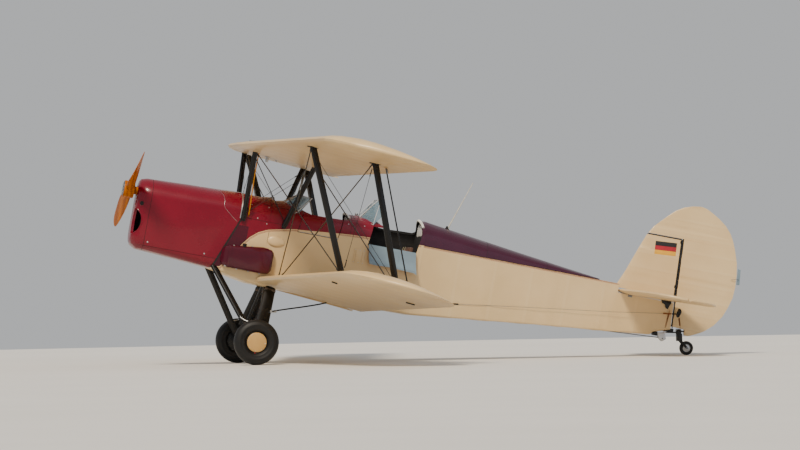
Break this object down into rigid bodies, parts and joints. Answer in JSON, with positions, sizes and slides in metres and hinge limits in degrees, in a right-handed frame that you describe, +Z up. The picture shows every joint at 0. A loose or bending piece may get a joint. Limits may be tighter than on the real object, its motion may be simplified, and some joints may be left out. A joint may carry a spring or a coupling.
{
  "type": "two-seat open-cockpit training biplane",
  "caption": "Two-seat open-cockpit training biplane on its wheels, with swept wings, wooden propeller, hinged control surfaces, cockpit doors and a steerable tail wheel.",
  "frame": {"origin": "middle of the whole aircraft's box, on the ground it stands on", "axes": "+X forward, +Y to the aircraft's left along the span, +Z up; the aircraft is parked nose up"},
  "size_m": [6.8976, 8.3732, 2.4643],
  "materials": {
    "crimson_paint": "gloss enamel",
    "plum_paint": "gloss enamel, darker",
    "engine_metal": "cast and oiled",
    "varnished_wood": "laminated and varnished",
    "tyre_rubber": "smooth tread",
    "sand_paint": "satin enamel",
    "window_glass": "clear",
    "seat_leather": "worn",
    "edge_leather": "pale, stitched",
    "panel_paint": "matt",
    "spring_steel": "plain",
    "black_enamel": "gloss enamel",
    "cream_fabric": "doped and painted cloth"
  },
  "bodies": {
    "airframe": {"cowling": "crimson_paint", "engine": "engine_metal", "coaming": "crimson_paint", "fuselage_front": "cream_fabric", "instrument_panel_front": "panel_paint", "instrument_panel_rear": "panel_paint", "padding_front": "edge_leather", "padding_rear": "edge_leather", "fuselage_rear": "cream_fabric", "turtle_deck": "plum_paint", "aerial": "black_enamel", "seat_front": "seat_leather", "seat_rear": "seat_leather", "windscreen_front": "window_glass", "windscreen_rear": "window_glass", "oil_tank": "crimson_paint", "exhaust_pipe": "engine_metal", "wing_upper_left": "cream_fabric", "wing_upper_right": "cream_fabric", "wing_lower_left": "cream_fabric", "wing_lower_right": "cream_fabric", "wing_centre": "cream_fabric", "interplane_front_left": "black_enamel", "interplane_rear_left": "black_enamel", "interplane_front_right": "black_enamel", "interplane_rear_right": "black_enamel", "cabane_left": "black_enamel", "cabane_right": "black_enamel", "flying_wire_front_left": "black_enamel", "landing_wire_front_left": "black_enamel", "flying_wire_rear_left": "black_enamel", "landing_wire_rear_left": "black_enamel", "flying_wire_front_right": "black_enamel", "landing_wire_front_right": "black_enamel", "flying_wire_rear_right": "black_enamel", "landing_wire_rear_right": "black_enamel", "tailplane": "cream_fabric", "fin": "cream_fabric", "tail_spring": "spring_steel", "gear_left": "black_enamel", "gear_right": "black_enamel"},
    "propeller": {"propeller": "varnished_wood"},
    "wheel_left": {"tyre_left": "tyre_rubber", "hub_left": "sand_paint"},
    "wheel_right": {"tyre_right": "tyre_rubber", "hub_right": "sand_paint"},
    "rudder": {"rudder": "cream_fabric"},
    "tail_swivel": {"tail_fork": "black_enamel"},
    "tail_wheel": {"tail_wheel": "tyre_rubber"},
    "elevator": {"elevator": "cream_fabric"},
    "aileron_upper_left": {"aileron_upper_left": "cream_fabric"},
    "aileron_upper_right": {"aileron_upper_right": "cream_fabric"},
    "aileron_lower_left": {"aileron_lower_left": "cream_fabric"},
    "aileron_lower_right": {"aileron_lower_right": "cream_fabric"},
    "aileron_link_left": {"aileron_link_left": "black_enamel"},
    "aileron_link_right": {"aileron_link_right": "black_enamel"},
    "door_front": {"door_front": "crimson_paint"},
    "door_rear": {"door_rear": "cream_fabric"}
  },
  "joints": [
    {"name": "propeller_spin", "type": "hinge", "parent": "airframe", "child": "propeller", "pos_m": [3.36426, 0, 1.95744], "axis": [0.9796, 0, 0.2011], "continuous": true},
    {"name": "wheel_left_spin", "type": "hinge", "parent": "airframe", "child": "wheel_left", "pos_m": [2.08036, 0.84, 0.25], "axis": [0, 1, 0], "continuous": true},
    {"name": "wheel_right_spin", "type": "hinge", "parent": "airframe", "child": "wheel_right", "pos_m": [2.08036, -0.84, 0.25], "axis": [0, 1, 0], "continuous": true},
    {"name": "rudder_hinge", "type": "hinge", "parent": "airframe", "child": "rudder", "pos_m": [-2.78064, 0, 0.79815], "axis": [-0.1568, 0, 0.9876], "range_deg": [-28, 28]},
    {"name": "tail_wheel_steer", "type": "hinge", "parent": "airframe", "child": "tail_swivel", "pos_m": [-2.77329, 0, 0.21778], "axis": [0, 0, 1], "range_deg": [-28, 28]},
    {"name": "tail_wheel_spin", "type": "hinge", "parent": "tail_swivel", "child": "tail_wheel", "pos_m": [-2.85689, 0, 0.078], "axis": [0, 1, 0], "continuous": true},
    {"name": "elevator_hinge", "type": "hinge", "parent": "airframe", "child": "elevator", "pos_m": [-2.65474, 0, 0.62493], "axis": [0, 1, 0], "range_deg": [-26, 26]},
    {"name": "aileron_upper_left_hinge", "type": "hinge", "parent": "airframe", "child": "aileron_upper_left", "pos_m": [0.89695, 3, 2.17775], "axis": [-0.1601, 0.9871, 0.0023], "range_deg": [-22, 22]},
    {"name": "aileron_upper_right_hinge", "type": "hinge", "parent": "airframe", "child": "aileron_upper_right", "pos_m": [0.89695, -3, 2.17775], "axis": [0.1601, 0.9871, -0.0023], "range_deg": [-22, 22]},
    {"name": "aileron_lower_left_hinge", "type": "hinge", "parent": "airframe", "child": "aileron_lower_left", "pos_m": [0.68684, 3, 0.72464], "axis": [-0.1616, 0.9867, 0.0187], "range_deg": [-22, 22]},
    {"name": "aileron_lower_right_hinge", "type": "hinge", "parent": "airframe", "child": "aileron_lower_right", "pos_m": [0.68684, -3, 0.72464], "axis": [0.1616, 0.9867, -0.0187], "range_deg": [-22, 22]},
    {"name": "aileron_link_left_pivot", "type": "hinge", "parent": "aileron_upper_left", "child": "aileron_link_left", "pos_m": [0.8839, 2.768, 2.11575], "axis": [-0.1601, 0.9871, 0.0023], "range_deg": [-22, 22]},
    {"name": "aileron_link_right_pivot", "type": "hinge", "parent": "aileron_upper_right", "child": "aileron_link_right", "pos_m": [0.8839, -2.768, 2.11575], "axis": [0.1601, 0.9871, -0.0023], "range_deg": [-22, 22]},
    {"name": "door_front_hinge", "type": "hinge", "parent": "airframe", "child": "door_front", "pos_m": [1.52915, 0.344, 1.45824], "axis": [0.9796, 0, 0.2011], "range_deg": [-172, 0]},
    {"name": "door_rear_hinge", "type": "hinge", "parent": "airframe", "child": "door_rear", "pos_m": [0.74941, 0.344, 1.29818], "axis": [0.9796, 0, 0.2011], "range_deg": [0, 172]}
  ],
  "couplings": [
    {"joint": "tail_wheel_steer", "follows": "rudder_hinge", "ratio": 1},
    {"joint": "aileron_upper_right_hinge", "follows": "aileron_upper_left_hinge", "ratio": -1},
    {"joint": "aileron_lower_left_hinge", "follows": "aileron_upper_left_hinge", "ratio": 1},
    {"joint": "aileron_lower_right_hinge", "follows": "aileron_upper_left_hinge", "ratio": -1},
    {"joint": "aileron_link_left_pivot", "follows": "aileron_upper_left_hinge", "ratio": -1},
    {"joint": "aileron_link_right_pivot", "follows": "aileron_upper_left_hinge", "ratio": 1}
  ]
}
